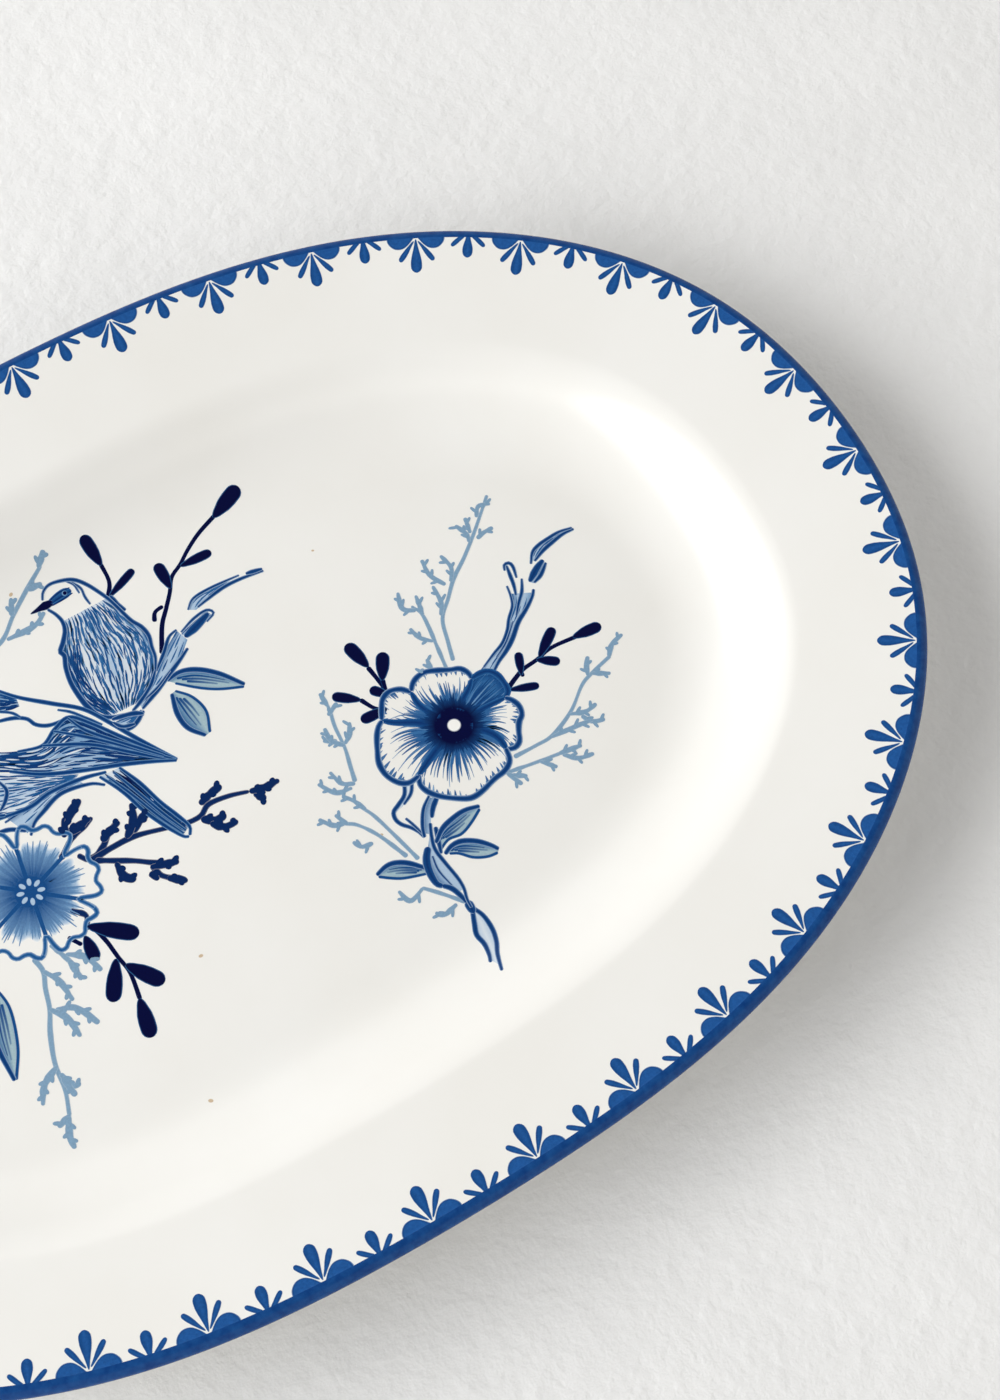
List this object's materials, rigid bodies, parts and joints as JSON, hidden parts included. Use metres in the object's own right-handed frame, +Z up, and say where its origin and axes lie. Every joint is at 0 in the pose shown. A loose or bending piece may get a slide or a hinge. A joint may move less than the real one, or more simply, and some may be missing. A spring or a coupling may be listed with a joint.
{
  "type": "china serving platter",
  "caption": "Oval porcelain platter with a wide flange, a shallow well and a foot ring, printed with a scalloped border, a bird and blossom spray and a pansy spray.",
  "frame": {"origin": "middle of the footprint, on the surface the platter stands on", "axes": "+X along the platter towards the pansy spray, +Y across it in the direction the sprays grow, +Z up"},
  "size_m": [0.36, 0.246, 0.0254],
  "materials": {
    "bare_china": "fine unglazed biscuit",
    "clear_glaze": "high gloss",
    "cobalt_line": "high gloss",
    "border_transfer": "high gloss",
    "spray_transfer": "high gloss"
  },
  "bodies": {
    "root": {"china_body": "bare_china", "edge_line": "cobalt_line", "face_glaze": "clear_glaze", "back_glaze": "clear_glaze", "foot_recess_glaze": "clear_glaze", "border_strip_1": "border_transfer", "border_strip_2": "border_transfer", "border_strip_3": "border_transfer", "border_strip_4": "border_transfer", "bird_spray_transfer": "spray_transfer", "pansy_spray_transfer": "spray_transfer"}
  },
  "joints": []
}
